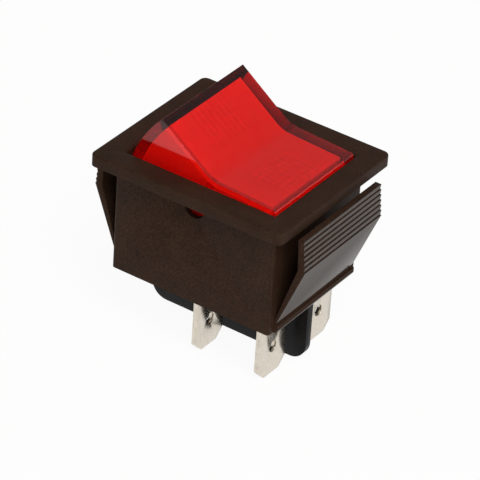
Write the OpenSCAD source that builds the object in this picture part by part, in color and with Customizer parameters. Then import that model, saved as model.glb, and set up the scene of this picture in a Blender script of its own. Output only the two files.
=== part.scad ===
// Double-pole illuminated rocker switch that snaps into a panel.
// The origin lies at the centre of the panel face, under the bezel. X runs along the
// rocker, Y along its pivot, and Z out of the panel towards the user.
// The rocker is drawn pressed at its +X end, with both contacts open.

/* [Bezel] */
// Length of the bezel, along the rocker
bezel_l = 31; // [30:0.5:36]
// Width of the bezel, along the pivot
bezel_w = 26.4; // [24:0.1:30]
// Thickness of the bezel
bezel_t = 1.75; // [1.4:0.05:2.4]
// Radius of the bezel's corners in plan
bezel_corner_r = 1; // [0.5:0.1:3]
// Rounding of the bezel's top edge
bezel_edge_r = 0.25; // [0.1:0.05:0.7]

/* [Housing body] */
// Length of the body behind the panel
body_l = 26; // [25.4:0.1:27]
// Width of the body behind the panel
body_w = 20.9; // [20.5:0.1:22]
// Depth of the body behind the panel
body_depth = 16.75; // [16:0.25:20]
// Thickness of the body's walls
wall = 0.85; // [0.6:0.05:1]
// Radius of the body's vertical edges
body_corner_r = 0.5; // [0.2:0.1:0.8]
// Chamfer round the mouth that the rocker moves in
mouth_chamfer = 0.25; // [0.1:0.05:0.4]

/* [Snap arms] */
// Width of each snap arm
arm_w = 18.4; // [12:0.2:19]
// Thickness of the arm at its kink
arm_t = 1.15; // [0.9:0.05:1.4]
// How far the arm's kink stands out from the body
arm_reach = 4.2; // [3.2:0.1:4.6]
// Depth of the kink below the panel face
arm_kink_drop = 5.5; // [4.5:0.1:7]
// Gap between the bezel and the top of the arm
arm_top_drop = 0.75; // [0.5:0.05:1.2]
// How far the ribbed part leans in from kink to top
arm_lean = 0.45; // [0.2:0.05:0.8]
// Height of the root above the body's rim, where the arm comes free
arm_root_h = 1.9; // [1.4:0.1:2.6]
// Height above the rim where the arm's outer face starts to slant
arm_foot_h = 1.65; // [1.3:0.05:2]
// How far the arm stands out of the body there
arm_foot_out = 0.38; // [0.2:0.02:0.44]
// How far the rounded lip at the root of a snap arm stands out of the body
arm_lip_out = 0.65; // [0.5:0.05:0.8]
// Height of that lip above the rim
arm_lip_h = 1.2; // [0.9:0.05:1.25]
// Rounding of the lip's lower edge
arm_lip_r = 0.55; // [0.3:0.05:0.6]
// Number of gripping teeth on each arm
tooth_count = 6; // [3:1:8]
// Depth of a gripping tooth
tooth_depth = 0.2; // [0.1:0.05:0.35]

/* [Rocker] */
// Gap between the rocker's sides and the body's walls
rocker_side_gap = 0.3; // [0.24:0.02:0.5]
// Gap between the rocker's ends and the body's walls
rocker_end_gap = 0.55; // [0.45:0.05:0.8]
// Tilt of the rocker to either side of level
rocker_tilt = 19.8; // [16:0.2:20]
// Wall of the rocker's shell
rocker_wall = 1.3; // [1:0.05:1.5]
// Height of the valley above the pivot
valley_h = 4.7; // [4.5:0.1:6]
// Slope of each touch face
face_slope = 16.7; // [12:0.1:18]
// Fillet in the valley between the touch faces
valley_r = 4; // [2:0.5:8]
// Radius of the bulge of the rocker's end walls
end_bulge_r = 20; // [16:1:30]
// Depth of the bulge's widest line below the pivot
bulge_drop = 0.5; // [0:0.1:1]
// Depth of the rocker's skirt below the pivot
skirt_drop = 1.9; // [1.5:0.1:2.2]
// Height of the light-spreading ribs under the touch faces
prism_h = 0.25; // [0.1:0.05:0.3]
// Pitch of the light-spreading ribs
prism_pitch = 1; // [0.8:0.1:2]

/* [Pivot] */
// Depth of the pivot below the panel face
pivot_drop = 1.76; // [1.5:0.02:2.2]
// Radius of the rocker's pivot stubs
stub_r = 1.52; // [1.2:0.02:1.7]
// Radial clearance of the stubs in the housing
stub_gap = 0.08; // [0.04:0.01:0.1]
// Radius of the ears that carry the stubs
ear_r = 3.1; // [2.6:0.1:3.6]

/* [Base] */
// Thickness of the base's floor
floor_t = 2; // [1.5:0.1:2.4]
// How far the floor sits inside the body's rim
floor_recess = 0.5; // [0.3:0.1:1]
// Gap between the base and the body's walls
base_gap = 0.15; // [0.1:0.05:0.3]
// Thickness of the barrier wall between the poles
barrier_t = 1.2; // [0.9:0.1:2]
// Radius of the barrier's lower corners
barrier_corner_r = 2.5; // [1:0.1:4]
// Thickness of the wall between the poles inside the body
inner_wall_t = 1.6; // [1.2:0.1:2]
// Length of the snap beads on the base's long sides
bead_l = 8; // [4:0.5:10]
// Height of the snap beads
bead_h = 0.8; // [0.5:0.1:1]
// How far the snap beads reach into the body's walls
bead_reach = 0.25; // [0.15:0.05:0.3]

/* [Terminals] */
// Distance of each pole's line from the side of the body
pole_inset = 4.95; // [4.8:0.05:5.1]
// Distance of the load terminals from the end of the body
load_inset = 2.6; // [2.2:0.1:3]
// Width of the blade terminals
tab_w = 6.3; // [4.8:0.1:6.3]
// Thickness of the terminals' sheet
tab_t = 0.8; // [0.5:0.1:0.8]
// Length of the blade terminals below the body's rim
tab_l = 9.65; // [8:0.05:12]
// Chamfer of the blade terminals' corners
tab_chamfer = 1.4; // [0.8:0.1:1.8]
// Radius of the hole through each blade terminal
tab_hole_r = 0.85; // [0.6:0.05:1]
// Height of that hole above the terminal's tip
tab_hole_up = 4.35; // [3.5:0.05:5]
// Clearance of the terminals in the base's slots
slot_gap = 0.05; // [0.03:0.01:0.1]

/* [Contacts] */
// Height of the see-saw's fulcrum above the base's floor
fulcrum_rise = 2.64; // [2.5:0.02:3]
// Thickness of the contact blade
blade_t = 0.6; // [0.4:0.05:0.7]
// Width of the bay between the two contact blades
lamp_bay_w = 5.8; // [5.4:0.1:6.2]
// Rise of each arm of the contact blade
blade_rise = 12; // [10:0.5:14]
// Tilt of the contact blade to either side of level
blade_swing = 8; // [6:0.5:9]
// Distance of the contacts from the load terminals' blades
contact_inset = 3.1; // [2.9:0.1:3.5]
// Radius of the contact rivets' heads
contact_r = 1.35; // [1.1:0.05:1.5]
// Height of the contact rivets' heads
contact_h = 0.6; // [0.4:0.05:0.7]
// Gap left between closed contacts
touch_gap = 0.06; // [0.04:0.01:0.1]

/* [Plungers] */
// Radius of each plunger
plunger_r = 1.6; // [1.4:0.05:1.7]
// Radial clearance of the plunger in its tube
plunger_gap = 0.06; // [0.04:0.01:0.1]
// Wall of the plunger tube
tube_wall = 0.9; // [0.7:0.05:1]
// Length of the plunger tube below the pivot
tube_drop = 5.6; // [4.5:0.1:6]
// Radius of the plunger's tip
tip_r = 1.1; // [0.8:0.1:1.3]
// Diameter of the spring's wire
spring_wire = 0.36; // [0.25:0.01:0.45]
// Number of turns in the spring
spring_turns = 6; // [4:1:8]

/* [Lamp] */
// Radius of the lamp's glass
lamp_r = 1.75; // [1.5:0.05:1.8]
// Length of the lamp's glass
lamp_l = 10; // [8:0.5:10]
// Depth of the lamp's axis below the pivot
lamp_drop = 0.4; // [0.3:0.05:0.8]
// Wall of the lamp's glass
glass_t = 0.35; // [0.25:0.05:0.5]
// Radius of the lamp's and resistor's lead wires
lead_r = 0.25; // [0.2:0.01:0.3]
// Radius of the resistor's body
resistor_r = 1.15; // [0.9:0.05:1.2]
// Length of the resistor's body
resistor_l = 5.6; // [4.5:0.1:6]

/* [Hidden] */
$fn = 48;
FRONT = -1;
BACK = 1;
eps = 0.01;

// The cavity of the body, and the space that the rocker swings in
cavity_l = body_l - 2 * wall;
cavity_w = body_w - 2 * wall;
pivot_z = -pivot_drop;

// Rocker, in its own frame: pivot at the origin, level, Z up
rocker_w = cavity_w - 2 * rocker_side_gap;
rocker_end_x = cavity_l / 2 - rocker_end_gap;
bulge_x = end_bulge_r - rocker_end_x;
stub_end_y = body_w / 2 - 0.5;
skirt_low_z = pivot_z - rocker_end_x * sin(rocker_tilt) - skirt_drop * cos(rocker_tilt);

// Base and terminals
rim_z = -body_depth;
floor_bottom = rim_z + floor_recess;
floor_top = floor_bottom + floor_t;
tip_z = rim_z - tab_l;
base_l = cavity_l - 2 * base_gap;
base_w = cavity_w - 2 * base_gap;
seat_gap = 0.05;
shoulder_w = 0.3;
shoulder_h = 0.5;
ear_t = 0.75;
ear_in = tab_w / 2 - ear_t;
bend_r = 0.4;

// See-saw contacts
fulcrum_z = floor_top + fulcrum_rise;
closed_rise = blade_rise - blade_swing;
pole_y = body_w / 2 - pole_inset;
load_x = body_l / 2 - load_inset;
contact_s = load_x - contact_inset;
blade_w = 2 * pole_y - lamp_bay_w;
rivet_dome_r = 4;
tail_r = 1.1;
tail_h = 0.25;
shank_r = 0.7;
shank_gap = 0.03;
contact_x = contact_s * cos(closed_rise) + contact_h * sin(closed_rise);
contact_top = fulcrum_z + contact_s * sin(closed_rise) - contact_h * cos(closed_rise)
    - rivet_dome_r * (1 - cos(closed_rise)) - touch_gap;
shelf_top = contact_top - contact_h;
shelf_bottom = shelf_top - tab_t;
shelf_in_x = contact_x - contact_r - 0.5;
shelf_w = blade_w + 0.2;
long_arm = contact_s + contact_r - 0.1;
short_arm = contact_s - 0.1;
stop_x = 0.8 - contact_s;
lug_x = contact_s - 0.4;
lug_y = lamp_bay_w / 2 - 0.8;
lug_l = 1.5;

// Plungers, in the rocker's frame. The tip clears the blade over the whole swing, so its
// reach is the shortest that any tilt allows.
tube_r = plunger_r + plunger_gap + tube_wall;
blade_valley = pivot_z - fulcrum_z - blade_t / cos(blade_rise);
tip_clear = 0.05;
function tip_reach(turn) =
    let (rise = blade_rise - blade_swing * turn / rocker_tilt)
    (blade_valley * cos(rise) - tip_r - tip_clear) / cos(turn - rise) + tip_r;
plunger_reach = min([for (i = [0:12]) tip_reach(rocker_tilt * i / 12)]);
spring_bottom = -2.6;
spring_top = 2.2;
spring_r = plunger_r - spring_wire / 2 - 0.15;
stem_r = spring_r - spring_wire / 2 - 0.2;

// Lamp
lamp_z = pivot_z - lamp_drop;
electrode_y = 0.7;
wall_top = lamp_z - lamp_r - 0.4;
wall_end_x = lug_x - resistor_r - 0.75;
saddle_x = wall_end_x - 1.5;
saddle_t = 1.4;
bead_x = lamp_l / 2 - 2;
electrode_r = 0.35;
electrode_in = 2.5;
resistor_y = 0.3;
resistor_low = shelf_top + 1.1;
resistor_top = resistor_low + resistor_l;
ferrule_l = 1.4;
ferrule_low = resistor_top + 0.3;
sleeve_low = shelf_top + 1.2;
sleeve_top = lamp_z - 3;
sleeve_r = 0.5;
sleeve_gap = 0.02;

// ---------------------------------------------------------------- plain shapes

// A rectangle about the origin with round corners
module round_rect(l, w, r) {
    square([l - 2 * r, w], center = true);
    square([l, w - 2 * r], center = true);
    for (x = [-1, 1], y = [-1, 1])
        translate([x * (l / 2 - r), y * (w / 2 - r)]) circle(r);
}

// A slab on the panel face whose top edge is rounded
module soft_slab(l, w, t, r, edge) {
    linear_extrude(t - edge) round_rect(l, w, r);
    linear_extrude(t) round_rect(l - 2 * edge, w - 2 * edge, r - edge);
    for (y = [-1, 1])
        translate([0, y * (w / 2 - edge), t - edge])
            rotate([0, 90, 0]) cylinder(h = l - 2 * r, r = edge, center = true);
    for (x = [-1, 1])
        translate([x * (l / 2 - edge), 0, t - edge])
            rotate([90, 0, 0]) cylinder(h = w - 2 * r, r = edge, center = true);
    for (x = [-1, 1], y = [-1, 1])
        translate([x * (l / 2 - r), y * (w / 2 - r), t - edge])
            rotate_extrude() translate([r - edge, 0]) circle(edge);
}

// An outline in X and Z, drawn out by w along Y and centred on it
module drawn_y(w) {
    translate([0, w / 2, 0]) rotate([90, 0, 0]) linear_extrude(w) children();
}

// An outline in Y and Z, drawn out by t along X and centred on it
module drawn_x(t) {
    translate([-t / 2, 0, 0]) rotate([90, 0, 90]) linear_extrude(t) children();
}

// A wire that runs through the points, with round elbows
module wire(points, r) {
    for (i = [0 : len(points) - 2]) {
        way = points[i + 1] - points[i];
        reach = norm(way);
        translate(points[i])
            rotate([0, acos(way.z / reach), atan2(way.y, way.x)]) cylinder(h = reach, r = r);
    }
    for (i = [1 : len(points) - 2])
        translate(points[i]) sphere(r);
}

// Places what is modelled in the rocker's frame at its stored tilt
module on_rocker() {
    translate([0, 0, pivot_z]) rotate([0, rocker_tilt, 0]) children();
}

// Places what is modelled on a level contact blade at its stored tilt
module on_blade(pole) {
    translate([0, pole * pole_y, fulcrum_z]) rotate([0, -blade_swing, 0]) children();
}

// ---------------------------------------------------------------- housing

// The side view of the snap arm on the +X end, from its rounded root up to its toothed head
module arm_outline() {
    root_x = body_l / 2;
    kink = [root_x + arm_reach, -arm_kink_drop];
    foot_x = root_x + arm_foot_out;
    pitch = (arm_kink_drop - arm_top_drop) / tooth_count;
    function head_x(i) = kink.x - arm_lean * i / tooth_count;
    polygon(concat(
        [[root_x - wall / 2, rim_z + arm_lip_r], [foot_x, rim_z + arm_lip_r],
        [foot_x, rim_z + arm_foot_h], kink],
        [for (i = [1 : tooth_count], top = [false, true])
            top ? [head_x(i), kink.y + i * pitch] : [head_x(i - 1) - tooth_depth, kink.y + (i - 1) * pitch]],
        [[kink.x - arm_lean - arm_t + tooth_depth, -arm_top_drop], [kink.x - arm_t, kink.y],
        [root_x, rim_z + arm_root_h], [root_x - wall / 2, rim_z + arm_root_h]]));
    translate([root_x + arm_lip_out - arm_lip_r, rim_z + arm_lip_r]) circle(arm_lip_r);
    translate([root_x - wall / 2, rim_z]) square([wall / 2 + arm_lip_out - arm_lip_r, arm_lip_h]);
    translate([root_x, rim_z + arm_lip_r]) square([arm_lip_out, arm_lip_h - arm_lip_r]);
}

// The chamfer round the mouth that the rocker moves in, widening outwards from a half span
function flared(half) = [[-half, bezel_t - mouth_chamfer], [half, bezel_t - mouth_chamfer],
    [half + 2 * mouth_chamfer, bezel_t + mouth_chamfer], [-half - 2 * mouth_chamfer, bezel_t + mouth_chamfer]];

module mouth_cut() {
    intersection() {
        drawn_y(cavity_w + 4 * mouth_chamfer) polygon(flared(cavity_l / 2));
        drawn_x(cavity_l + 4 * mouth_chamfer) polygon(flared(cavity_w / 2));
    }
}

module housing() {
    color("#3a2d25") difference() {
        union() {
            soft_slab(bezel_l, bezel_w, bezel_t, bezel_corner_r, bezel_edge_r);
            translate([0, 0, rim_z]) linear_extrude(body_depth) round_rect(body_l, body_w, body_corner_r);
            for (side = [0, 180])
                rotate([0, 0, side]) drawn_y(arm_w) arm_outline();
        }
        translate([-cavity_l / 2, -cavity_w / 2, rim_z - 1])
            cube([cavity_l, cavity_w, body_depth + bezel_t + 2]);
        mouth_cut();
        translate([0, 0, pivot_z]) rotate([90, 0, 0])
            cylinder(h = body_w + 2, r = stub_r + stub_gap, center = true);
        translate([0, 0, floor_bottom + floor_t / 2])
            cube([bead_l + 0.2, cavity_w + 2 * bead_reach + 0.2, bead_h + 0.2], center = true);
    }
}

// ---------------------------------------------------------------- rocker

// The rocker's side view, taken inset inside its skin and cut off at the height bottom
module rocker_outline(inset, bottom) {
    fillet_r = valley_r + inset;
    fillet_z = valley_h + valley_r / cos(face_slope);
    tangent = [fillet_r * sin(face_slope), fillet_z - fillet_r * cos(face_slope)];
    far = rocker_end_x + 2;
    far_z = tangent.y + (far - tangent.x) * tan(face_slope);
    high = far_z + 5;
    difference() {
        intersection() {
            translate([-bulge_x, -bulge_drop]) circle(end_bulge_r - inset);
            translate([bulge_x, -bulge_drop]) circle(end_bulge_r - inset);
            translate([-far, bottom]) square([2 * far, high - bottom]);
        }
        translate([0, fillet_z]) circle(fillet_r + eps);
        polygon([[-tangent.x, tangent.y], [tangent.x, tangent.y], [far, far_z], [far, high],
            [-far, high], [-far, far_z]]);
    }
}

// Ribs under one touch face, along the pivot, that spread the lamp's light
module prism_outline() {
    first = 3.2;
    last = rocker_end_x - rocker_wall - 2;
    count = floor((last - first) / prism_pitch);
    translate([0, valley_h - rocker_wall / cos(face_slope)]) rotate(face_slope)
        polygon(concat([[first, rocker_wall / 2]],
            [for (i = [0 : count - 1], low = [false, true])
                [first + (i + (low ? 0.5 : 0)) * prism_pitch, low ? -prism_h : 0]],
            [[first + count * prism_pitch, 0], [first + count * prism_pitch, rocker_wall / 2]]));
}

// A pivot stub on the +Y side, with the ramp that lets it snap into the housing
module pivot_stub() {
    root_y = rocker_w / 2;
    difference() {
        translate([0, root_y - rocker_wall / 2, 0]) rotate([-90, 0, 0])
            cylinder(h = stub_end_y - root_y + rocker_wall / 2, r = stub_r);
        drawn_x(2 * stub_r + 1) polygon([[stub_end_y, 0.3], [root_y + 0.2, -stub_r - 0.1],
            [stub_end_y + 1, -stub_r - 0.1], [stub_end_y + 1, 0.3]]);
    }
}

module rocker() {
    color("#d8202c") on_rocker() difference() {
        union() {
            difference() {
                drawn_y(rocker_w) rocker_outline(0, -skirt_drop);
                drawn_y(rocker_w - 2 * rocker_wall) rocker_outline(rocker_wall, -skirt_drop - 1);
            }
            for (side = [0, 180])
                rotate([0, 0, side]) {
                    drawn_y(rocker_w - rocker_wall) prism_outline();
                    translate([0, (rocker_w - rocker_wall) / 2, 0]) drawn_y(rocker_wall) circle(ear_r);
                    pivot_stub();
                    intersection() {
                        translate([0, pole_y, -tube_drop]) cylinder(h = tube_drop + valley_h + 2, r = tube_r);
                        drawn_y(rocker_w - rocker_wall) rocker_outline(rocker_wall / 2, -tube_drop - 1);
                    }
                }
        }
        for (y = [-1, 1])
            translate([0, y * pole_y, -tube_drop - 1])
                cylinder(h = tube_drop + 1 + spring_top, r = plunger_r + plunger_gap);
    }
}

// ---------------------------------------------------------------- base

// The barrier below the body, with its neck up into the floor
module barrier_outline() {
    l = body_l - 0.2;
    r = barrier_corner_r;
    translate([-l / 2, tip_z + r]) square([l, rim_z - seat_gap - tip_z - r]);
    translate([r - l / 2, tip_z]) square([l - 2 * r, r + eps]);
    for (x = [-1, 1])
        translate([x * (l / 2 - r), tip_z + r]) circle(r);
    translate([-base_l / 2, rim_z - 1]) square([base_l, floor_bottom - rim_z + 1.5]);
}

// The stepped wall between the poles, clear of the rocker's skirt
module inner_wall_outline() {
    low_z = skirt_low_z - 0.8;
    polygon([[-base_l / 2, floor_top - eps], [base_l / 2, floor_top - eps], [base_l / 2, shelf_top],
        [wall_end_x, shelf_top], [wall_end_x, wall_top], [-wall_end_x - 1, wall_top],
        [-wall_end_x - 1, low_z], [-base_l / 2, low_z]]);
}

// The seats of one pole: the ledge under the load terminal's shelf and the blade's stop
module pole_seats() {
    ledge_l = contact_x + contact_r - shelf_in_x;
    stop_z = fulcrum_z + (-stop_x - 0.6) * tan(closed_rise) - 2 * seat_gap;
    difference() {
        translate([shelf_in_x, -shelf_w / 2 + 0.4, floor_top - eps])
            cube([ledge_l, shelf_w - 0.8, shelf_bottom - floor_top + eps]);
        translate([contact_x, 0, floor_top + 0.1]) cylinder(h = tab_t + 2, r = tail_r + 0.3);
    }
    translate([stop_x - 0.6, -2, floor_top - eps]) cube([1.2, 4, stop_z - floor_top + eps]);
}

module base() {
    color("#17171a") difference() {
        union() {
            translate([0, 0, floor_bottom]) linear_extrude(floor_t) round_rect(base_l, base_w, 0.4);
            translate([0, 0, floor_bottom + floor_t / 2])
                cube([bead_l, cavity_w + 2 * bead_reach, bead_h], center = true);
            drawn_y(barrier_t) barrier_outline();
            drawn_y(inner_wall_t) inner_wall_outline();
            for (x = [-1, 1])
                translate([x * saddle_x - saddle_t / 2, -lamp_r - 0.55, wall_top - 0.6])
                    cube([saddle_t, 2 * lamp_r + 1.1, lamp_z - wall_top + 0.8]);
            for (pole = [FRONT, BACK])
                translate([0, pole * pole_y, 0]) pole_seats();
        }
        translate([0, 0, lamp_z]) rotate([0, 90, 0])
            cylinder(h = body_l, r = lamp_r + sleeve_gap, center = true);
        for (x = [-load_x, 0, load_x], pole = [FRONT, BACK])
            translate([x, pole * pole_y, floor_bottom + floor_t / 2])
                cube([tab_t + 2 * slot_gap, tab_w + 2 * slot_gap, floor_t + 1], center = true);
    }
}

// ---------------------------------------------------------------- terminals

// One side of a blade terminal's outline, from its tip up past its shoulder
function tab_side(side) = [[side * (tab_w / 2 - tab_chamfer), tip_z], [side * tab_w / 2, tip_z + tab_chamfer],
    [side * tab_w / 2, floor_top], [side * (tab_w / 2 + shoulder_w), floor_top],
    [side * (tab_w / 2 + shoulder_w), floor_top + shoulder_h], [side * tab_w / 2, floor_top + shoulder_h]];

function reversed(list) = [for (i = [len(list) - 1 : -1 : 0]) list[i]];

module tab_hole() {
    translate([0, 0, tip_z + tab_hole_up]) rotate([0, 90, 0]) cylinder(h = 3, r = tab_hole_r, center = true);
}

// The middle terminal, whose top edge and ears carry the see-saw blade
module common_terminal(pole) {
    edge_z = fulcrum_z - seat_gap;
    ear_z = fulcrum_z + blade_t + 0.9;
    color("#c4b8a6") translate([0, pole * pole_y, 0]) difference() {
        drawn_x(tab_t) polygon(concat(tab_side(1),
            [[tab_w / 2, ear_z - 0.4], [tab_w / 2 - 0.4, ear_z], [ear_in, ear_z], [ear_in, edge_z]],
            [[-ear_in, edge_z], [-ear_in, ear_z], [0.4 - tab_w / 2, ear_z], [-tab_w / 2, ear_z - 0.4]],
            reversed(tab_side(-1))));
        tab_hole();
    }
}

// The outer terminal, bent over into a shelf for the fixed contact, with a lug for the lamp
module load_terminal(pole) {
    bend_x = load_x - tab_t / 2 - bend_r;
    bend_z = shelf_bottom - bend_r;
    color("#c4b8a6") translate([0, pole * pole_y, 0]) difference() {
        union() {
            translate([load_x, 0, 0]) drawn_x(tab_t)
                polygon(concat(tab_side(1), [[tab_w / 2, bend_z], [-tab_w / 2, bend_z]], reversed(tab_side(-1))));
            drawn_y(shelf_w) difference() {
                union() {
                    translate([bend_x, bend_z]) intersection() {
                        circle(bend_r + tab_t);
                        square(bend_r + tab_t);
                    }
                    translate([shelf_in_x, shelf_bottom]) square([bend_x - shelf_in_x, tab_t]);
                }
                translate([bend_x, bend_z]) circle(bend_r);
            }
            translate([lug_x - lug_l / 2, pole > 0 ? lug_y - 0.7 - pole_y : shelf_w / 2 - eps, shelf_bottom])
                cube([lug_l, pole_y - shelf_w / 2 - lug_y + 0.7 + eps, tab_t]);
        }
        translate([load_x, 0, 0]) tab_hole();
        translate([contact_x, 0, shelf_bottom - 1]) cylinder(h = tab_t + 2, r = shank_r + shank_gap);
        translate([lug_x, -pole * (pole_y - lug_y), shelf_bottom - 1])
            cylinder(h = tab_t + 2, r = lead_r + seat_gap);
    }
}

// ---------------------------------------------------------------- contacts

// A silver rivet whose head stands up on z = 0, staked through a sheet below it
module contact_rivet(sheet, domed) {
    bevel = 0.12;
    rivet_z = -sheet - tail_h;
    color("#d9d7d2") intersection() {
        rotate_extrude() polygon([[0, rivet_z], [tail_r - bevel, rivet_z], [tail_r, rivet_z + bevel],
            [tail_r, -sheet], [shank_r, -sheet], [shank_r, 0], [contact_r, 0], [contact_r, contact_h - bevel],
            [contact_r - bevel, contact_h], [0, contact_h]]);
        if (domed)
            translate([0, 0, contact_h - rivet_dome_r]) sphere(rivet_dome_r);
        else
            translate([0, 0, rivet_z - 1]) cylinder(h = contact_h - rivet_z + 2, r = contact_r + 1);
    }
}

module fixed_contact(pole) {
    translate([contact_x, pole * pole_y, shelf_top]) contact_rivet(tab_t, false);
}

module moving_contact(pole) {
    on_blade(pole) rotate([0, -blade_rise, 0]) translate([contact_s, 0, 0]) rotate([180, 0, 0])
        contact_rivet(blade_t, true);
}

// The see-saw: a bent strip that rocks on the common terminal's top edge
module contact_blade(pole) {
    up = [-blade_t * sin(blade_rise), blade_t * cos(blade_rise)];
    long_end = long_arm * [cos(blade_rise), sin(blade_rise)];
    short_end = short_arm * [-cos(blade_rise), sin(blade_rise)];
    color("#b87848") on_blade(pole) difference() {
        intersection() {
            drawn_y(blade_w) polygon([[0, 0], long_end, long_end + up, [0, blade_t / cos(blade_rise)],
                short_end + [-up.x, up.y], short_end]);
            translate([(long_end.x + short_end.x) / 2, 0, -1])
                linear_extrude(long_end.y + blade_t + 2) round_rect(long_end.x - short_end.x + 0.02, blade_w, 0.8);
        }
        for (y = [-1, 1])
            translate([0, y * (ear_in - 0.1 + 2), 0]) cube([tab_t + 0.7, 4, 4], center = true);
        rotate([0, -blade_rise, 0]) translate([contact_s, 0, -1])
            cylinder(h = blade_t + 2, r = shank_r + shank_gap);
    }
}

// ---------------------------------------------------------------- plungers

module plunger(pole) {
    neck_z = tip_r - plunger_reach;
    color("#e8e4d8") on_rocker() translate([0, pole * pole_y, 0]) {
        translate([0, 0, neck_z]) sphere(tip_r);
        translate([0, 0, neck_z]) cylinder(h = 0.7, r1 = tip_r, r2 = plunger_r);
        translate([0, 0, neck_z + 0.7]) cylinder(h = spring_bottom - neck_z - 0.7, r = plunger_r);
        translate([0, 0, spring_bottom - eps]) cylinder(h = 2.6, r = stem_r);
    }
}

// The centre line of the spring: closed end turns and open turns between them
function coil_point(turn) =
    let (closed = spring_wire * 1.02, start = spring_bottom + spring_wire / 2 + seat_gap,
        rise = spring_top - spring_bottom - spring_wire - 2 * seat_gap - 2 * closed,
        z = start + closed * min(turn, 1) + closed * max(turn - spring_turns + 1, 0)
            + rise * min(max((turn - 1) / (spring_turns - 2), 0), 1))
    [spring_r * cos(360 * turn), spring_r * sin(360 * turn), z];

// A round wire swept along the coil, as rings of points
module coil_spring() {
    steps = 14;
    sides = 8;
    rings = spring_turns * steps;
    points = [for (i = [0 : rings], k = [0 : sides - 1])
        let (turn = i / steps, centre = coil_point(turn), out = [cos(360 * turn), sin(360 * turn), 0],
            spin = 360 * k / sides)
        centre + spring_wire / 2 * (cos(spin) * out + sin(spin) * [0, 0, 1])];
    walls = [for (i = [0 : rings - 1], k = [0 : sides - 1])
        let (a = i * sides + k, b = i * sides + (k + 1) % sides)
        [a, b, b + sides, a + sides]];
    polyhedron(concat(points), concat(walls, [[for (k = [sides - 1 : -1 : 0]) k]],
        [[for (k = [0 : sides - 1]) rings * sides + k]]));
}

module plunger_spring(pole) {
    color("#a9adb2") on_rocker() translate([0, pole * pole_y, 0]) coil_spring();
}

// ---------------------------------------------------------------- lamp

module lamp_glass() {
    inner_r = lamp_r - glass_t;
    round_x = lamp_r - lamp_l / 2;
    color("#f2c9b0", 0.6) translate([0, 0, lamp_z]) rotate([0, 90, 0]) difference() {
        union() {
            translate([0, 0, round_x]) sphere(lamp_r);
            translate([0, 0, round_x]) cylinder(h = bead_x - round_x, r = lamp_r);
            translate([0, 0, bead_x]) cylinder(h = lamp_l / 2 - bead_x, r1 = lamp_r, r2 = lamp_r - 0.5);
        }
        translate([0, 0, round_x]) sphere(inner_r);
        translate([0, 0, round_x]) cylinder(h = bead_x - round_x - 0.3, r = inner_r);
        for (y = [-1, 1])
            translate([0, y * electrode_y, 0]) cylinder(h = lamp_l, r = lead_r + sleeve_gap);
    }
}

// An electrode inside the glass, which goes on as the lead
module electrode(pole) {
    translate([-electrode_in, pole * electrode_y, lamp_z]) rotate([0, 90, 0])
        cylinder(h = bead_x + electrode_in - 0.5, r = electrode_r);
}

module lamp_lead_front() {
    color("#b9b9b4") {
        electrode(FRONT);
        wire([[0, -electrode_y, lamp_z], [lug_x, -electrode_y, lamp_z], [lug_x, -lug_y, lamp_z],
            [lug_x, -lug_y, shelf_bottom - 0.4]], lead_r);
    }
}

module lamp_lead_back() {
    color("#b9b9b4") {
        electrode(BACK);
        wire([[0, electrode_y, lamp_z], [lug_x, electrode_y, lamp_z], [lug_x, resistor_y, lamp_z],
            [lug_x, resistor_y, ferrule_low + ferrule_l / 2 + 0.05]], lead_r);
    }
}

// A tube round one of the upright leads
module lead_tube(y, low, high, r) {
    translate([lug_x, y, low]) difference() {
        cylinder(h = high - low, r = r);
        translate([0, 0, -1]) cylinder(h = high - low + 2, r = lead_r + sleeve_gap);
    }
}

module lead_sleeve() {
    color("#e9e3c9") lead_tube(-lug_y, sleeve_low, sleeve_top, sleeve_r);
}

module lead_ferrule() {
    color("#c9c9c9") lead_tube(resistor_y, ferrule_low, ferrule_low + ferrule_l, sleeve_r);
}

module resistor() {
    cap_l = 1.3;
    color("#c8a878") translate([lug_x, resistor_y, resistor_low]) {
        for (z = [0, resistor_l - cap_l])
            translate([0, 0, z]) cylinder(h = cap_l, r = resistor_r);
        cylinder(h = resistor_l, r = resistor_r * 0.86);
    }
}

module resistor_leads() {
    color("#b9b9b4") {
        wire([[lug_x, resistor_y, ferrule_low + ferrule_l / 2 - 0.05], [lug_x, resistor_y, resistor_top]], lead_r);
        wire([[lug_x, resistor_y, resistor_low], [lug_x, resistor_y, shelf_top + 0.6],
            [lug_x, lug_y, shelf_top + 0.6], [lug_x, lug_y, shelf_bottom - 0.4]], lead_r);
    }
}

// ---------------------------------------------------------------- what is drawn

housing();
rocker();
base();
common_terminal(FRONT);  // common_terminal_front
common_terminal(BACK);  // common_terminal_back
load_terminal(FRONT);  // load_terminal_front
load_terminal(BACK);  // load_terminal_back
contact_blade(FRONT);  // contact_blade_front
contact_blade(BACK);  // contact_blade_back
moving_contact(FRONT);  // moving_contact_front
moving_contact(BACK);  // moving_contact_back
fixed_contact(FRONT);  // fixed_contact_front
fixed_contact(BACK);  // fixed_contact_back
plunger(FRONT);  // plunger_front
plunger(BACK);  // plunger_back
plunger_spring(FRONT);  // plunger_spring_front
plunger_spring(BACK);  // plunger_spring_back
lamp_glass();
lamp_lead_front();
lamp_lead_back();
lead_sleeve();
lead_ferrule();
resistor();
resistor_leads();
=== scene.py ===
"""The looks of a snap-in panel rocker switch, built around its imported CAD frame.

Metres, Z out of the panel. X runs along the rocker towards its pressed end, Y along its pivot.
"""
import math

import bmesh
import bpy
from mathutils import Matrix, Vector


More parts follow.
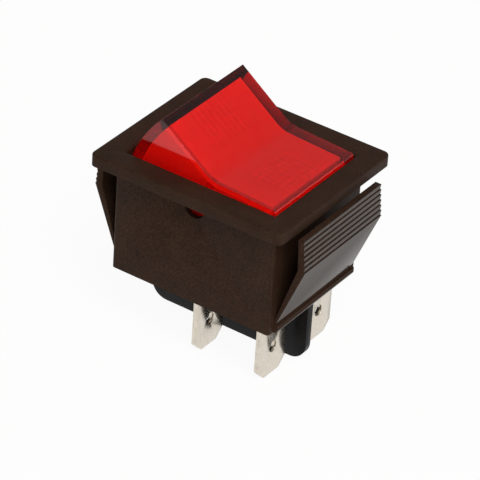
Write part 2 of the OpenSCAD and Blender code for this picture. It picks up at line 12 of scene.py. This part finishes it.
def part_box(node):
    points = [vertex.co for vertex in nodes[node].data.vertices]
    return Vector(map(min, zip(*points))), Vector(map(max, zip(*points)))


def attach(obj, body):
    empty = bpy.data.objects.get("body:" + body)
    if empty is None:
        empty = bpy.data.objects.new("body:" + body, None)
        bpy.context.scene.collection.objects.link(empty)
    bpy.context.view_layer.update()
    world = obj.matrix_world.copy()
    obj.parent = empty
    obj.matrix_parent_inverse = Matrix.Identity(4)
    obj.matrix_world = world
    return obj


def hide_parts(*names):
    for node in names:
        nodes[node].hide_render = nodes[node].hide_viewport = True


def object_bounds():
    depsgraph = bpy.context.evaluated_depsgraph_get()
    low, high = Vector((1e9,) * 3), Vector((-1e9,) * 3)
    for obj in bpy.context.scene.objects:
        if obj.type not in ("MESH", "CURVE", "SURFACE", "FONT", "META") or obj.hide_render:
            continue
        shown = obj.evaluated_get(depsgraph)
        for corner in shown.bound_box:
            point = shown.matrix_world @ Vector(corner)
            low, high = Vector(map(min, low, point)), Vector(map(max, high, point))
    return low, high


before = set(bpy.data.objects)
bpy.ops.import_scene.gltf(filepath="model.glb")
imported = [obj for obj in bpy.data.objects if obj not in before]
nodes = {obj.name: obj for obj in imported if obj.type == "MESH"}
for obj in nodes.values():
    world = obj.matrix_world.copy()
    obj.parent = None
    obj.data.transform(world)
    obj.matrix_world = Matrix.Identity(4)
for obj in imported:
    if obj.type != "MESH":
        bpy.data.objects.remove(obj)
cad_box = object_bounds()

scene = bpy.context.scene
MM = 0.001

# ---------------------------------------------------------------- camera
# A long lens looks down over the near side and the pressed end, so that the bezel, the
# rocker's two faces, one ribbed snap arm and the terminals show together.
CAMERA_AZIMUTH = math.radians(32.86)
CAMERA_ELEVATION = math.radians(33.56)
CAMERA_ROLL = math.radians(3.93)
CAMERA_PLACE = Vector((220.12, -339.57, 256.28)) * MM

camera_data = bpy.data.cameras.new("camera")
camera_data.sensor_width = 36
camera_data.lens = 267.6
camera_data.clip_end = 10
camera = bpy.data.objects.new("camera", camera_data)
scene.collection.objects.link(camera)
camera.matrix_world = (
    Matrix.Translation(CAMERA_PLACE)
    @ Matrix.Rotation(CAMERA_AZIMUTH, 4, "Z")
    @ Matrix.Rotation(math.pi / 2 - CAMERA_ELEVATION, 4, "X")
    @ Matrix.Rotation(CAMERA_ROLL, 4, "Z")
)
scene.camera = camera


# ---------------------------------------------------------------- housing
# Bezel, box body and two ribbed snap arms in one moulding of brown-black glass-filled nylon.
# It snaps into the panel from the front, and the arms' teeth grip the back of the sheet.
def linear(colour):
    """An sRGB hex colour as linear red, green, blue and alpha."""
    parts = [int(colour[i:i + 2], 16) / 255 for i in (1, 3, 5)]
    return [p / 12.92 if p <= 0.04045 else ((p + 0.055) / 1.055) ** 2.4 for p in parts] + [1.0]


def add(tree, kind, settings={}, links={}):
    """Adds a node, sets its sockets or properties, and links sources to its sockets."""
    made = tree.nodes.new("ShaderNode" + kind)
    for name, value in settings.items():
        if name == "stops":
            ramp = made.color_ramp
            while len(ramp.elements) < len(value):
                ramp.elements.new(1.0)
            for element, (place, colour) in zip(ramp.elements, value):
                element.position = place
                element.color = linear(colour)
        elif isinstance(name, int) or name in made.inputs:
            made.inputs[name].default_value = value
        else:
            setattr(made, name, value)
    for name, source in links.items():
        tree.links.new(source, made.inputs[name])
    return made


def new_material(name, **settings):
    """A node material with its tree, Principled shader, output and Object coordinates.

    The settings are the shader's sockets, with an underscore for each space.
    """
    material = bpy.data.materials.new(name)
    material.use_nodes = True
    tree = material.node_tree
    tree.nodes.clear()
    sockets = {key.replace("_", " "): value for key, value in settings.items()}
    shader = add(tree, "BsdfPrincipled", sockets)
    output = add(tree, "OutputMaterial", links={"Surface": shader.outputs["BSDF"]})
    place = add(tree, "TexCoord").outputs["Object"]
    return material, tree, shader, output, place


def grained(tree, shader, height, rough, bump_strength, bump_depth):
    """Drives the shader's roughness and bump from one height between 0 and 1."""
    dull = add(tree, "MapRange", {"To Min": rough[0], "To Max": rough[1]}, {"Value": height})
    bump = add(tree, "Bump", {"Strength": bump_strength, "Distance": bump_depth},
               {"Height": height})
    tree.links.new(dull.outputs["Result"], shader.inputs["Roughness"])
    tree.links.new(bump.outputs["Normal"], shader.inputs["Normal"])


def textured(tree, shader, height, tones, rough, bump_strength, bump_depth):
    """Drives the shader's colour, roughness and bump from one height between 0 and 1."""
    tone = add(tree, "ValToRGB", {"stops": tones}, {"Fac": height})
    tree.links.new(tone.outputs["Color"], shader.inputs["Base Color"])
    grained(tree, shader, height, rough, bump_strength, bump_depth)


def finished(shape, name):
    """Ends a bmesh as a named object in the scene."""
    mesh = bpy.data.meshes.new(name)
    shape.to_mesh(mesh)
    shape.free()
    piece = bpy.data.objects.new(name, mesh)
    scene.collection.objects.link(piece)
    return piece


def rounded_copy(node, name, edge, segments=2, angle=32):
    """The node's own form with its facets welded and every sharp edge broken by a small round."""
    shape = bmesh.new()
    shape.from_mesh(nodes[node].data)
    bmesh.ops.remove_doubles(shape, verts=shape.verts, dist=0.002 * MM)
    for face in shape.faces:
        face.smooth = True
    piece = finished(shape, name)
    bevel = piece.modifiers.new("broken edges", "BEVEL")
    bevel.width = edge
    bevel.segments = segments
    bevel.limit_method = "ANGLE"
    bevel.angle_limit = math.radians(angle)
    bevel.harden_normals = True
    bevel.miter_outer = "MITER_ARC"
    return piece


def dress(piece, body, node, slot, *materials):
    """Gives the piece its materials, and puts it on its body in place of its node."""
    for material in materials:
        piece.data.materials.append(material)
    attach(piece, body)
    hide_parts(node)


# Glass-filled nylon off a spark-eroded mould: a fine matte grain with a brown cast.
GRAIN = 0.22 * MM
CLOUD = 3.5 * MM
nylon, tree, shader, output, place = new_material(
    "moulded_nylon_brown_black", Specular_IOR_Level=0.05)
grain = add(tree, "TexNoise", {"Scale": 1 / GRAIN, "Detail": 3.0, "Roughness": 0.6},
            {"Vector": place})
cloud = add(tree, "TexNoise", {"Scale": 1 / CLOUD, "Detail": 2.0}, {"Vector": place})
mixed = add(tree, "Math", {"operation": "MULTIPLY_ADD", 1: 0.3},
            {0: cloud.outputs["Fac"], 2: grain.outputs["Fac"]})
textured(tree, shader, mixed.outputs[0],
         [(0.4, "#21150d"), (0.65, "#33231a"), (0.95, "#443022")], (0.4, 0.6), 0.3, 0.02 * MM)

# The same nylon where the arm's ramp slides into the cut-out. The mould is polished there,
# which gives the eye a broad pale sheen with faint streaks.
STREAK_W = 0.8 * MM
STREAK_L = 4.0 * MM
ramp_nylon, tree, shader, output, place = new_material("polished_nylon_ramp", IOR=1.55)
drag = add(tree, "Mapping", {"Scale": (1 / STREAK_W, 1 / STREAK_W, 1 / STREAK_L)},
           {"Vector": place})
streak = add(tree, "TexNoise", {"Scale": 1.0, "Detail": 3.0},
             {"Vector": drag.outputs["Vector"]})
textured(tree, shader, streak.outputs["Fac"], [(0.3, "#241910"), (0.7, "#38291f")],
         (0.16, 0.3), 0.08, 0.02 * MM)

housing = rounded_copy("housing", "housing_moulding", 0.06 * MM)
dress(housing, "switch_body", "housing", "housing_nylon", nylon, ramp_nylon)
BODY_END_X = 13 * MM
CLEAR_OF_BODY = 0.1 * MM
for face in housing.data.polygons:
    on_arm = abs(face.center.x) > BODY_END_X + CLEAR_OF_BODY
    if on_arm and face.normal.z < -0.15 and abs(face.normal.x) > 0.8:
        face.material_index = 1

# ---------------------------------------------------------------- rocker
# A hollow shell of red polycarbonate, polished outside. Its inner faces are frosted, and small
# pyramids under the touch faces spread the lamp's light. Solid walls look darker from above.
PIVOT_Z = -1.76 * MM
ROCKER_TILT = math.radians(19.8)
ROCKER_WALL = 1.3 * MM
ROCKER_W = 18.6 * MM
END_BULGE_R = 20.0 * MM
ROCKER_END_X = 11.6 * MM
BULGE_Z = -0.5 * MM
SKIRT_Z = -1.9 * MM
VALLEY_H = 4.7 * MM
VALLEY_R = 4.0 * MM
FACE_SLOPE = math.radians(16.7)
EDGE_R = 0.12 * MM

from_rocker = Matrix.Translation((0, 0, PIVOT_Z)) @ Matrix.Rotation(ROCKER_TILT, 4, "Y")


def roof_height(x, inset):
    """Height of the touch faces above the pivot, or of a line inset below them."""
    radius = VALLEY_R + inset
    centre = VALLEY_H + VALLEY_R / math.cos(FACE_SLOPE)
    tangent = radius * math.sin(FACE_SLOPE)
    if abs(x) < tangent:
        return centre - math.sqrt(radius ** 2 - x ** 2)
    return centre - radius * math.cos(FACE_SLOPE) + (abs(x) - tangent) * math.tan(FACE_SLOPE)


def rocker_side(inset):
    """The rocker's side view inset inside its skin, from one foot over the top to the other.

    The end's arc is walked in fine steps up to the touch face, and every 40th is kept.
    """
    fine_step = math.radians(0.05)
    kept_every = 40
    valley_steps = 8
    radius = END_BULGE_R - inset
    arc_x = ROCKER_END_X - END_BULGE_R
    turn = math.asin((SKIRT_Z - BULGE_Z) / radius)
    half = []
    while True:
        x = arc_x + radius * math.cos(turn)
        z = BULGE_Z + radius * math.sin(turn)
        if z > roof_height(x, inset):
            break
        half.append((x, z))
        turn += fine_step
    corner = half[-1]
    half = half[::kept_every] + [corner]
    tangent = (VALLEY_R + inset) * math.sin(FACE_SLOPE)
    for step in range(valley_steps, -1, -1):
        x = tangent * step / valley_steps
        half.append((x, roof_height(x, inset)))
    return half + [(-x, z) for x, z in half[-2::-1]]


def drawn_out(shape, points, half_width):
    """Adds a prism along Y with that side view, and returns its faces."""
    verts = [shape.verts.new((x, -half_width, z)) for x, z in points]
    end = shape.faces.new(verts)
    grown = bmesh.ops.extrude_face_region(shape, geom=[end])["geom"]
    moved = [item for item in grown if isinstance(item, bmesh.types.BMVert)]
    bmesh.ops.translate(shape, vec=(0, 2 * half_width, 0), verts=moved)
    faces = list({face for vert in verts + moved for face in vert.link_faces})
    bmesh.ops.recalc_face_normals(shape, faces=faces)
    return faces


def opened_below(shape, faces):
    """Takes away the prism's lowest face and returns the edges round the opening."""
    lowest = min(faces, key=lambda face: face.calc_center_median().z)
    rim = list(lowest.edges)
    bmesh.ops.delete(shape, geom=[lowest], context="FACES_ONLY")
    return rim


def rod(shape, radius, length, where):
    """Adds a closed cylinder about where's Z axis and returns its faces."""
    made = bmesh.ops.create_cone(shape, cap_ends=True, segments=48, radius1=radius,
                                 radius2=radius, depth=length, matrix=where)["verts"]
    return list({face for vert in made for face in vert.link_faces})


def turned_tube(shape, radius, bore, low, high, bore_top, y):
    """Adds an upright tube, open below, whose bore stops at bore_top."""
    faces = rod(shape, radius, high - low, Matrix.Translation((0, y, (low + high) / 2)))
    foot = min(faces, key=lambda face: face.calc_center_median().z)
    bmesh.ops.inset_region(shape, faces=[foot], thickness=radius - bore)
    raised = bmesh.ops.extrude_discrete_faces(shape, faces=[foot])["faces"][0]
    bmesh.ops.translate(shape, vec=(0, 0, bore_top - low), verts=list(raised.verts))


def with_rims(faces):
    """The faces with their edges and corners, as the cutting operator wants them."""
    edges = {edge for face in faces for edge in face.edges}
    verts = {vert for face in faces for vert in face.verts}
    return faces + list(edges) + list(verts)


def cut_off(shape, faces, point, normal):
    """Cuts the part of a closed form that lies beyond a plane away, and closes the cut."""
    cut = bmesh.ops.bisect_plane(shape, geom=with_rims(faces), plane_co=point,
                                 plane_no=normal, clear_outer=True)["geom_cut"]
    rim = [item for item in cut if isinstance(item, bmesh.types.BMEdge)]
    bmesh.ops.holes_fill(shape, edges=rim)


def log_along_y(shape, radius, y_low, y_high):
    """Adds a closed cylinder along Y and returns its faces."""
    middle = Matrix.Translation((0, (y_low + y_high) / 2, 0))
    return rod(shape, radius, y_high - y_low, middle @ Matrix.Rotation(math.pi / 2, 4, "X"))


SHARP = math.radians(30)
shape = bmesh.new()
skin_faces = drawn_out(shape, rocker_side(0), ROCKER_W / 2)
weight = shape.edges.layers.float.new("bevel_weight_edge")
for edge in {edge for face in skin_faces for edge in face.edges}:
    if edge.calc_face_angle(0) > SHARP:
        edge[weight] = 1.0
for face in skin_faces:
    face.smooth = True
outer_rim = opened_below(shape, skin_faces)

inner_faces = drawn_out(shape, rocker_side(ROCKER_WALL), ROCKER_W / 2 - ROCKER_WALL)
bmesh.ops.reverse_faces(shape, faces=inner_faces)
for face in inner_faces:
    face.material_index = 1
inner_rim = opened_below(shape, inner_faces)
bmesh.ops.bridge_loops(shape, edges=outer_rim + inner_rim)

# The pyramids: both sloping inner roofs are cut into cells, and every second corner drops.
PYRAMID_PITCH = 1.0 * MM
PYRAMID_H = 0.2 * MM
PYRAMIDS_FROM = 3.0 * MM
PLAIN_END = 0.9 * MM
NEAR = 0.01
half_pitch = PYRAMID_PITCH / 2
inner_end = ROCKER_END_X - ROCKER_WALL - PLAIN_END
columns = 2 * int((inner_end - PYRAMIDS_FROM) / PYRAMID_PITCH)
rows = 2 * int((ROCKER_W / 2 - ROCKER_WALL) / PYRAMID_PITCH)
for side in (-1, 1):
    roof = [face for face in shape.faces if face.material_index == 1 and face.normal.z < -0.5
            and side * face.calc_center_median().x > PYRAMIDS_FROM]
    cuts = [((side * (PYRAMIDS_FROM + step * half_pitch), 0, 0), (1, 0, 0))
            for step in range(columns + 1)]
    cuts += [((0, (step - rows / 2) * half_pitch, 0), (0, 1, 0)) for step in range(rows + 1)]
    for point, normal in cuts:
        cut = bmesh.ops.bisect_plane(shape, geom=with_rims(roof), plane_co=point,
                                     plane_no=normal)["geom"]
        roof = [item for item in cut if isinstance(item, bmesh.types.BMFace)]
    for vert in {vert for face in roof for vert in face.verts}:
        column = (abs(vert.co.x) - PYRAMIDS_FROM) / half_pitch
        row = vert.co.y / half_pitch + rows / 2
        within = -NEAR < column < columns + NEAR and -NEAR < row < rows + NEAR
        if within and round(column) % 2 and round(row) % 2 and abs(row - round(row)) < NEAR:
            vert.co.z -= PYRAMID_H

# Plunger tubes under the valley, the ears that hang below the skirt, and the pivot stubs.
POLE_Y = 5.5 * MM
TUBE_R = 2.56 * MM
TUBE_BORE = 1.66 * MM
TUBE_LOW = -5.6 * MM
BORE_TOP = 2.2 * MM
EAR_R = 3.1 * MM
STUB_R = 1.52 * MM
STUB_END = 9.95 * MM
STUB_RAMP_Z = 0.3 * MM
STUB_RAMP = (1.92, -0.45)
APART = 0.02 * MM
tube_top = roof_height(0, ROCKER_WALL) - APART
for side in (-1, 1):
    turned_tube(shape, TUBE_R, TUBE_BORE, TUBE_LOW, tube_top, BORE_TOP, side * POLE_Y)
    ends = sorted((side * (ROCKER_W / 2 - ROCKER_WALL), side * (ROCKER_W / 2 - EDGE_R)))
    cut_off(shape, log_along_y(shape, EAR_R, *ends), (0, 0, SKIRT_Z - APART), (0, 0, 1))
    ends = sorted((side * (ROCKER_W / 2 + APART), side * STUB_END))
    cut_off(shape, log_along_y(shape, STUB_R, *ends), (0, side * STUB_END, STUB_RAMP_Z),
            (0, side * STUB_RAMP[0], STUB_RAMP[1]))
shape.transform(from_rocker)
rocker = finished(shape, "rocker_shell")
rounding = rocker.modifiers.new("broken edges", "BEVEL")
rounding.width = EDGE_R
rounding.segments = 3
rounding.limit_method = "WEIGHT"
rounding.harden_normals = True

# Polished skin: clear red with faint flow waves. Lamp light passes it without a caustic.
red_skin, tree, shader, output, place = new_material(
    "polished_red_polycarbonate", Base_Color=linear("#ff3a30"), Transmission_Weight=1.0, IOR=1.5)
waves = add(tree, "TexNoise", {"Scale": 1 / (1.5 * MM), "Detail": 2.0}, {"Vector": place})
grained(tree, shader, waves.outputs["Fac"], (0.04, 0.12), 0.04, 0.02 * MM)
rays = add(tree, "LightPath")
through = add(tree, "BsdfTransparent", {"Color": linear("#ff7a70")})
skin = add(tree, "MixShader", {}, {
    0: rays.outputs["Is Shadow Ray"], 1: shader.outputs["BSDF"], 2: through.outputs["BSDF"]})
tree.links.new(skin.outputs[0], output.inputs["Surface"])
inside = add(tree, "VolumeAbsorption", {"Color": linear("#f04a4a"), "Density": 160.0})
tree.links.new(inside.outputs["Volume"], output.inputs["Volume"])

# Frosted inner face: it scatters light both ways, a little unevenly.
red_frost, tree, shader, output, place = new_material(
    "frosted_red_inner_face", Roughness=0.9, Specular_IOR_Level=0.1)
speckle = add(tree, "TexNoise", {"Scale": 1 / (2.5 * MM), "Detail": 2.0}, {"Vector": place})
tone = add(tree, "ValToRGB", {"stops": [(0.3, "#ff9a84"), (0.7, "#ff8a78")]},
           {"Fac": speckle.outputs["Fac"]})
tree.links.new(tone.outputs["Color"], shader.inputs["Base Color"])
glow = add(tree, "BsdfTranslucent", {}, {"Color": tone.outputs["Color"]})
both = add(tree, "MixShader", {0: 0.45},
           {1: shader.outputs["BSDF"], 2: glow.outputs["BSDF"]})
tree.links.new(both.outputs[0], output.inputs["Surface"])
dress(rocker, "rocker", "rocker", "rocker_red", red_skin, red_frost)

# ---------------------------------------------------------------- base
# One moulding of black thermoset: a floor with slots for the terminals, and the barrier
# that keeps the two poles apart. It is snapped into the housing from below.
black, tree, shader, output, place = new_material("black_phenolic", Specular_IOR_Level=0.12)
flow = add(tree, "TexNoise", {"Scale": 1 / (1.5 * MM), "Detail": 3.0}, {"Vector": place})
textured(tree, shader, flow.outputs["Fac"], [(0.3, "#050304"), (0.7, "#0d0808")],
         (0.3, 0.45), 0.1, 0.02 * MM)
base = rounded_copy("base", "base_moulding", 0.08 * MM)
dress(base, "switch_body", "base", "base_black", black)

# ---------------------------------------------------------------- terminals
# Blades stamped from 0.8 mm brass strip and tin plated, with a hole that latches the
# push-on receptacle. The punch leaves the edges slightly rolled.
tinned, tree, shader, output, place = new_material("tin_plated_brass", Metallic=1.0)
across = add(tree, "Mapping", {"Scale": (1 / (0.6 * MM), 1 / (0.12 * MM), 1 / (0.9 * MM))},
             {"Vector": place})
draw = add(tree, "TexNoise", {"Scale": 1.0, "Detail": 2.0},
           {"Vector": across.outputs["Vector"]})
textured(tree, shader, draw.outputs["Fac"], [(0.3, "#cdc3b4"), (0.7, "#e2dacd")],
         (0.2, 0.34), 0.06, 0.01 * MM)
TERMINALS = ("common_terminal_front", "common_terminal_back",
             "load_terminal_front", "load_terminal_back")
for name in TERMINALS:
    blade = rounded_copy(name, name + "_blade", 0.09 * MM)
    dress(blade, "switch_body", name, "tinned_brass", tinned)

# ---------------------------------------------------------------- contact blades
# The see-saws: strips of rolled copper bent to a shallow V. They rock on the common
# terminals' top edges, and their rolled grain runs along them.
copper, tree, shader, output, place = new_material("rolled_copper_strip", Metallic=1.0)
rolled = add(tree, "Mapping", {"Scale": (1 / (3 * MM), 1 / (0.1 * MM), 1 / (3 * MM))},
             {"Vector": place})
lines = add(tree, "TexNoise", {"Scale": 1.0, "Detail": 3.0},
            {"Vector": rolled.outputs["Vector"]})
textured(tree, shader, lines.outputs["Fac"], [(0.3, "#a8623f"), (0.7, "#c98056")],
         (0.22, 0.4), 0.08, 0.01 * MM)
for pole in ("front", "back"):
    seesaw = rounded_copy("contact_blade_" + pole, "seesaw_" + pole, 0.05 * MM)
    dress(seesaw, "blade_" + pole, "contact_blade_" + pole, "contact_copper", copper)

# ---------------------------------------------------------------- contacts
# Silver alloy rivets: a domed one staked through each see-saw, a flat one through each shelf.
# Arcing leaves them a little matte and mottled.
silver, tree, shader, output, place = new_material("silver_contact_alloy", Metallic=1.0)
mottle = add(tree, "TexNoise", {"Scale": 1 / (0.35 * MM), "Detail": 3.0}, {"Vector": place})
textured(tree, shader, mottle.outputs["Fac"], [(0.35, "#b9b5ac"), (0.7, "#e6e3dc")],
         (0.22, 0.42), 0.1, 0.01 * MM)
for pole in ("front", "back"):
    moving = rounded_copy("moving_contact_" + pole, "moving_rivet_" + pole, 0.03 * MM, angle=40)
    dress(moving, "blade_" + pole, "moving_contact_" + pole, "contact_silver", silver)
    fixed = rounded_copy("fixed_contact_" + pole, "fixed_rivet_" + pole, 0.03 * MM, angle=40)
    dress(fixed, "switch_body", "fixed_contact_" + pole, "contact_silver", silver)

# ---------------------------------------------------------------- plungers
# Natural white acetal pins that slide in the rocker's tubes and press on the see-saws.
# The resin is slightly see-through, which softens its shading.
acetal, tree, shader, output, place = new_material(
    "natural_acetal", Subsurface_Weight=0.3, Subsurface_Radius=(0.6, 0.5, 0.4),
    Subsurface_Scale=1 * MM)
milk = add(tree, "TexNoise", {"Scale": 1 / (1.2 * MM), "Detail": 2.0}, {"Vector": place})
textured(tree, shader, milk.outputs["Fac"], [(0.3, "#dedacc"), (0.7, "#ebe8de")],
         (0.3, 0.42), 0.05, 0.01 * MM)
for pole in ("front", "back"):
    pin = rounded_copy("plunger_" + pole, "plunger_pin_" + pole, 0.05 * MM, angle=50)
    dress(pin, "plunger_" + pole, "plunger_" + pole, "plunger_white", acetal)

# ---------------------------------------------------------------- plunger springs
# Coils of 0.36 mm music wire with closed ends, one above each plunger inside its tube.
WIRE_R = 0.18 * MM
COIL_R = 1.27 * MM
COIL_LOW = -2.6 * MM
COIL_TOP = 2.2 * MM
COIL_TURNS = 6
COIL_GAP = 0.05 * MM
steel, tree, shader, output, place = new_material("spring_music_wire", Metallic=1.0)
drawn = add(tree, "TexNoise", {"Scale": 1 / (0.15 * MM), "Detail": 2.0}, {"Vector": place})
textured(tree, shader, drawn.outputs["Fac"], [(0.3, "#83868a"), (0.7, "#a9adb2")],
         (0.2, 0.34), 0.06, 0.01 * MM)
STEPS = 28
closed = 2.04 * WIRE_R
middle_l = COIL_TOP - COIL_LOW - 2 * WIRE_R - 2 * COIL_GAP - 2 * closed
opened = middle_l / (COIL_TURNS - 2)
for pole, side in (("front", -1), ("back", 1)):
    shape = bmesh.new()
    start = Matrix.Translation((COIL_R, side * POLE_Y, COIL_LOW + WIRE_R + COIL_GAP))
    bmesh.ops.create_circle(shape, cap_ends=True, segments=12, radius=WIRE_R,
                            matrix=start @ Matrix.Rotation(math.pi / 2, 4, "X"))
    tip = list(shape.faces)
    for rise, turns in ((closed, 1), (opened, COIL_TURNS - 2), (closed, 1)):
        swept = bmesh.ops.spin(
            shape, geom=tip, cent=(0, side * POLE_Y, 0), axis=(0, 0, 1),
            dvec=(0, 0, rise / STEPS), angle=2 * math.pi * turns, steps=STEPS * turns)
        tip = [item for item in swept["geom_last"] if isinstance(item, bmesh.types.BMFace)]
    bmesh.ops.recalc_face_normals(shape, faces=shape.faces)
    for face in shape.faces:
        face.smooth = len(face.verts) == 4
    shape.transform(from_rocker)
    coil = finished(shape, "spring_coil_" + pole)
    dress(coil, "rocker", "plunger_spring_" + pole, "spring_steel", steel)

# ---------------------------------------------------------------- lamp
# A neon glow lamp on the pivot's line: a clear bulb with two nickel rods, pinched shut where
# the leads come out. One lead has a woven sleeve, the other a ferrule and a dropping resistor.
glass, tree, shader, output, place = new_material(
    "clear_lamp_glass", Base_Color=linear("#fbe9dd"), Transmission_Weight=1.0, IOR=1.48)
seeds = add(tree, "TexNoise", {"Scale": 1 / (1.0 * MM), "Detail": 2.0}, {"Vector": place})
grained(tree, shader, seeds.outputs["Fac"], (0.02, 0.07), 0.03, 0.02 * MM)
bulb = rounded_copy("lamp_glass", "glow_lamp_bulb", 0.03 * MM, angle=50)
dress(bulb, "switch_body", "lamp_glass", "lamp_glass", glass)

lead_tin, tree, shader, output, place = new_material("tinned_copper_lead", Metallic=1.0)
dross = add(tree, "TexNoise", {"Scale": 1 / (0.5 * MM), "Detail": 3.0}, {"Vector": place})
textured(tree, shader, dross.outputs["Fac"], [(0.3, "#a7a8a6"), (0.7, "#cfd0ce")],
         (0.25, 0.42), 0.08, 0.01 * MM)
for name in ("lamp_lead_front", "lamp_lead_back", "lead_ferrule", "resistor_leads"):
    wire = rounded_copy(name, name + "_wire", 0.03 * MM, angle=50)
    dress(wire, "switch_body", name, "lead_wire", lead_tin)

woven, tree, shader, output, place = new_material(
    "woven_glass_fibre_sleeve", Specular_IOR_Level=0.3)
plait = add(tree, "TexMagic", {"Scale": 1 / (0.25 * MM), "Distortion": 0.4, "turbulence_depth": 1},
            {"Vector": place})
textured(tree, shader, plait.outputs["Fac"], [(0.2, "#cfc8ae"), (0.8, "#f0ead6")],
         (0.6, 0.8), 0.4, 0.03 * MM)
sleeve = rounded_copy("lead_sleeve", "woven_sleeve", 0.04 * MM, angle=50)
dress(sleeve, "switch_body", "lead_sleeve", "sleeve_clear", woven)

# ---------------------------------------------------------------- resistor
# A carbon film resistor: a dipped beige body, thicker over its end caps, with colour rings
# for 150 kilohms at 5 per cent.
low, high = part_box("resistor")
enamel, tree, shader, output, place = new_material("dipped_resistor_enamel")
axes = add(tree, "SeparateXYZ", {}, {"Vector": place})
along = add(tree, "MapRange", {"From Min": low.z, "From Max": high.z},
            {"Value": axes.outputs["Z"]})
rings = add(tree, "ValToRGB", {"stops": [
    (0.0, "#c8a878"), (0.12, "#4a2412"), (0.2, "#c8a878"), (0.32, "#1f7a3c"), (0.39, "#c8a878"),
    (0.48, "#e8c81e"), (0.55, "#c8a878"), (0.8, "#b08a3a"), (0.88, "#c8a878")]},
    {"Fac": along.outputs["Result"]})
rings.color_ramp.interpolation = "CONSTANT"
dip = add(tree, "TexNoise", {"Scale": 1 / (0.8 * MM), "Detail": 2.0}, {"Vector": place})
tree.links.new(rings.outputs["Color"], shader.inputs["Base Color"])
grained(tree, shader, dip.outputs["Fac"], (0.28, 0.42), 0.1, 0.03 * MM)
resistor = rounded_copy("resistor", "ringed_resistor", 0.15 * MM, segments=3, angle=40)
dress(resistor, "switch_body", "resistor", "resistor_body", enamel)

# ---------------------------------------------------------------- studio
# A white sweep that only shows a faint shadow of the object, under a broad soft lamp.
FLOOR_Z = cad_box[0][2]
FLOOR_HALF = 1.5
JUST_BELOW = 0.02 * MM
PLAIN_WHITE_SHARE = 0.94
sweep = bmesh.new()
bmesh.ops.create_grid(sweep, x_segments=1, y_segments=1, size=FLOOR_HALF)
bmesh.ops.translate(sweep, vec=(0, 0, FLOOR_Z - JUST_BELOW), verts=sweep.verts)
floor = finished(sweep, "floor")
white, tree, shader, output, place = new_material(
    "white_paper", Base_Color=linear("#f2f1ee"), Roughness=0.9)
rays = add(tree, "LightPath")
mirrored = add(tree, "Math", {"operation": "MAXIMUM"}, {
    0: rays.outputs["Is Glossy Ray"], 1: rays.outputs["Is Transmission Ray"]})
looked = add(tree, "Math", {"operation": "MAXIMUM"}, {
    0: rays.outputs["Is Camera Ray"], 1: mirrored.outputs[0]})
share = add(tree, "Math", {"operation": "MULTIPLY", 1: PLAIN_WHITE_SHARE},
            {0: looked.outputs[0]})
plain = add(tree, "Emission", {"Color": (1, 1, 1, 1), "Strength": 1.0})
paper = add(tree, "MixShader", {}, {
    0: share.outputs[0], 1: shader.outputs["BSDF"], 2: plain.outputs[0]})
tree.links.new(paper.outputs[0], output.inputs["Surface"])
floor.data.materials.append(white)

# The room is white at the horizon and dim overhead, so that flat tops mirror little light.
world = bpy.data.worlds.new("studio")
scene.world = world
world.use_nodes = True
tree = world.node_tree
tree.nodes.clear()
way = add(tree, "SeparateXYZ", {}, {"Vector": add(tree, "TexCoord").outputs["Generated"]})
level = add(tree, "MapRange", {"From Min": 0.1, "From Max": 0.45, "To Min": 1.0, "To Max": 0.3},
            {"Value": way.outputs["Z"]})
room = add(tree, "Background", {"Color": (1, 1, 1, 1)}, {"Strength": level.outputs["Result"]})
add(tree, "OutputWorld", {}, {"Surface": room.outputs[0]})


def lamp(name, place, target, size, power):
    """A square soft lamp that faces its target."""
    data = bpy.data.lights.new(name, "AREA")
    data.size = size
    data.energy = power
    lamp_object = bpy.data.objects.new(name, data)
    scene.collection.objects.link(lamp_object)
    way = (Vector(target) - Vector(place)).to_track_quat("-Z", "Y")
    lamp_object.matrix_world = Matrix.Translation(place) @ way.to_matrix().to_4x4()


lamp("key", (0.3, -0.24, 0.46), (0, 0, 0), 0.35, 2.6)

scene.view_settings.view_transform = "Standard"
